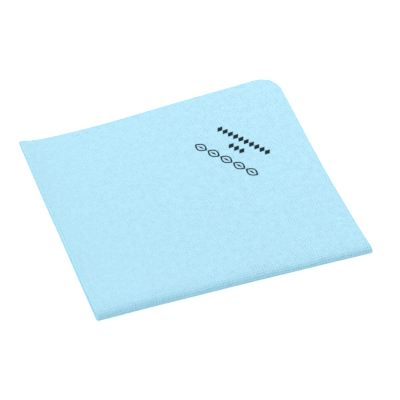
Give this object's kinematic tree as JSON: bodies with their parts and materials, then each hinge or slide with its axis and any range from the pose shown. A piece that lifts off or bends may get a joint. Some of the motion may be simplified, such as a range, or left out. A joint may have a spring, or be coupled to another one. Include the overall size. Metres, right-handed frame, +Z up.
{
  "type": "folded microfibre cloth",
  "caption": "Cleaning cloth of thin coated microfibre knit with rounded corners, folded in half and in half again into a flat oblong pad with a thick, soft front fold.",
  "frame": {"origin": "middle of the underside of the folded pad, on the surface it rests on", "axes": "+Z up, +X along the front fold towards the side with the cut edges, +Y from the front fold towards the far cut edges"},
  "size_m": [0.1946, 0.1782, 0.0105],
  "materials": {
    "cloth": "matt sky-blue coated microfibre knit with fine ribs"
  },
  "bodies": {
    "root": {"cloth": "cloth"}
  },
  "joints": []
}
